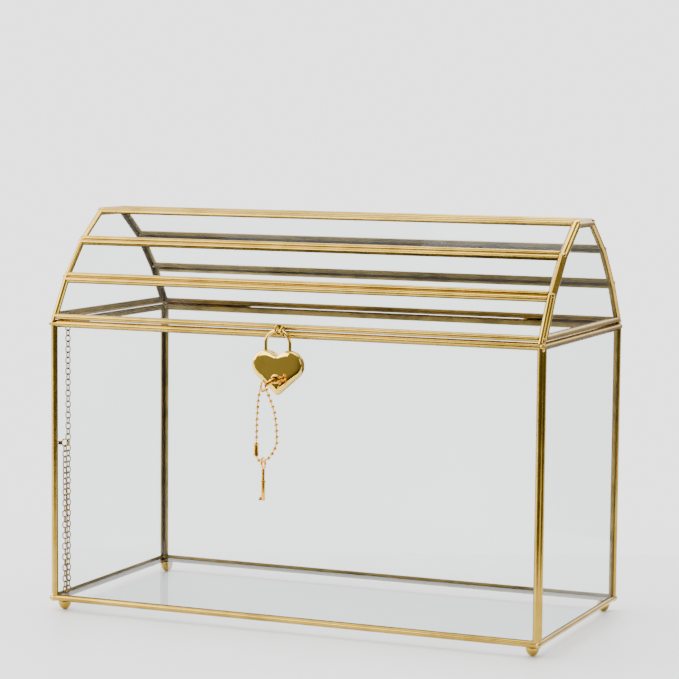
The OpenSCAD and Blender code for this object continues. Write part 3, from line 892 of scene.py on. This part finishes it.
def chain_clasp():
    """Open tube with a rolled rim at each end, which holds the two end beads."""
    build = Build()
    low, high = CONNECTOR_Z
    section = [(CONNECTOR_BORE, low)] + [(r, low + rise) for r, rise in CONNECTOR_RIM]
    section += [(r, high - rise) for r, rise in reversed(CONNECTOR_RIM)] + [(CONNECTOR_BORE, high)]
    steps = 28
    rings = []
    for k in range(steps):
        a = 2 * math.pi * k / steps
        c, s = math.cos(a), math.sin(a)
        rings.append([HOOK + Vector((CONNECTOR_X + r * c, r * s, z)) for r, z in section])
    build.loft(rings, loop=True)
    build.finish("ball_chain_clasp", KEY_GOLD, "bead_chain", ["chain_connector"], frame_at=on_lock)


# ---- Lights, floor and world ----


def area_light(name, place, aim, size, power, tone=(1, 1, 1)):
    """A rectangular lamp that faces the point aimed at; places and sizes in metres, power in watts."""
    data = bpy.data.lights.new(name, "AREA")
    data.shape = "RECTANGLE"
    data.size, data.size_y = size
    data.energy = power
    data.color = tone
    obj = bpy.data.objects.new(name, data)
    bpy.context.scene.collection.objects.link(obj)
    obj.location = place
    obj.rotation_mode = "QUATERNION"
    obj.rotation_quaternion = (Vector(aim) - Vector(place)).to_track_quat("-Z", "Y")


def lighting():
    area_light("window_left", (-1.5, -0.4, 1.0), (0, 0, 0.1), (1.6, 1.6), 45, (1.0, 0.99, 0.97))
    area_light("front_soft", (-0.85, -1.45, 0.85), (0, 0, 0.12), (0.8, 0.9), 14, (1.0, 0.99, 0.97))
    area_light("top_soft", (0.2, 0.3, 1.7), (0, 0, 0.1), (1.4, 1.4), 34)
    area_light("right_window", (1.7, -0.2, 0.9), (0, 0, 0.12), (0.8, 1.0), 7, (1.0, 0.98, 0.95))


# Brightest towards this direction, which points left, back and up
PALE_SIDE = (-1.15, 0.9, 0.7)
PALE_SPAN = (-1.4, 1.2)
WORLD_TONES = [
    (0.05, (0.055, 0.052, 0.047)), (0.3, (0.11, 0.106, 0.098)), (0.55, (0.13, 0.127, 0.12)),
    (0.73, (0.17, 0.168, 0.162)), (0.85, (0.8, 0.8, 0.79)), (0.93, (1.0, 1.0, 1.0)),
]
WORLD_STRENGTH = 2.7
# Heights of a unit direction between which the world dims, and its share of light below them
DIM_SPAN = (-0.34, -0.16)
DIM_SHARE = 0.22


def studio_world():
    """Pale behind the object, overhead and to the left, dimmer to the right, in front and below."""
    world = bpy.data.worlds.new("studio")
    bpy.context.scene.world = world
    n = Nodes(world)
    out = n.add("ShaderNodeOutputWorld")
    sky = n.add("ShaderNodeBackground")
    sky.inputs["Strength"].default_value = WORLD_STRENGTH
    where = n.add("ShaderNodeTexCoord")
    split = n.add("ShaderNodeSeparateXYZ")
    n.join(where.outputs["Generated"], split.inputs["Vector"])
    lean = n.add("ShaderNodeVectorMath", operation="DOT_PRODUCT")
    lean.inputs[1].default_value = PALE_SIDE
    n.join(where.outputs["Generated"], lean.inputs[0])
    depth = n.add("ShaderNodeMapRange")
    depth.inputs["From Min"].default_value, depth.inputs["From Max"].default_value = PALE_SPAN
    n.join(lean.outputs["Value"], depth.inputs["Value"])
    tone = n.ramp(depth.outputs["Result"], WORLD_TONES)
    below = n.add("ShaderNodeMapRange", interpolation_type="SMOOTHSTEP")
    below.inputs["From Min"].default_value, below.inputs["From Max"].default_value = DIM_SPAN
    below.inputs["To Min"].default_value = DIM_SHARE
    below.inputs["To Max"].default_value = 1.0
    n.join(split.outputs["Z"], below.inputs["Value"])
    shade = n.add("ShaderNodeVectorMath", operation="SCALE")
    n.join(tone, shade.inputs[0])
    n.join(below.outputs["Result"], shade.inputs["Scale"])
    n.join(shade.outputs["Vector"], sky.inputs["Color"])
    n.join(sky.outputs["Background"], out.inputs["Surface"])


# The table top in metres, seen square on by the camera
TABLE_HALF = 1.6
TABLE_NEAR, TABLE_FAR = -0.30, 0.19
TABLE_ROUND = 0.006
TABLE_T = 0.05


def table_finish():
    mat = bpy.data.materials.new("pale_table")
    n = Nodes(mat)
    out = n.add("ShaderNodeOutputMaterial")
    bsdf = n.add("ShaderNodeBsdfPrincipled")
    tones = [(0.3, (0.80, 0.80, 0.81)), (0.7, (0.84, 0.84, 0.85))]
    n.join(n.ramp(n.noise(3.0, 2.0), tones), bsdf.inputs["Base Color"])
    n.join(n.span(n.noise(20.0), 0.35, 0.5), bsdf.inputs["Roughness"])
    n.join(bsdf.outputs["BSDF"], out.inputs["Surface"])
    return mat


def floor():
    """Pale table top with a rounded far edge."""
    section = [(TABLE_NEAR, 0.0)]
    for k in range(7):
        a = math.pi / 2 * k / 6
        section.append((
            TABLE_FAR - TABLE_ROUND + TABLE_ROUND * math.sin(a),
            -TABLE_ROUND + TABLE_ROUND * math.cos(a),
        ))
    section += [(TABLE_FAR, -TABLE_T), (TABLE_NEAR, -TABLE_T)]
    count = len(section)
    verts = [(s * TABLE_HALF, y, z) for s in (-1, 1) for y, z in section]
    faces = [(i, (i + 1) % count, count + (i + 1) % count, count + i) for i in range(count)]
    faces += [tuple(reversed(range(count))), tuple(range(count, 2 * count))]
    mesh = bpy.data.meshes.new("table_top")
    mesh.from_pydata(verts, [], faces)
    bm = bmesh.new()
    bm.from_mesh(mesh)
    bmesh.ops.recalc_face_normals(bm, faces=bm.faces)
    bm.to_mesh(mesh)
    bm.free()
    mesh.materials.append(table_finish())
    obj = bpy.data.objects.new("table_top", mesh)
    bpy.context.scene.collection.objects.link(obj)
    obj.rotation_euler = (0, 0, AZIMUTH)


chest_rails()
chest_posts()
lid_rails()
end_frames()
chest_solder()
lid_solder()
feet()
heart_front()
heart_back()
escutcheon()
shackle()
keys()
bead_chain()
chain_clasp()
lighting()
studio_world()
floor()
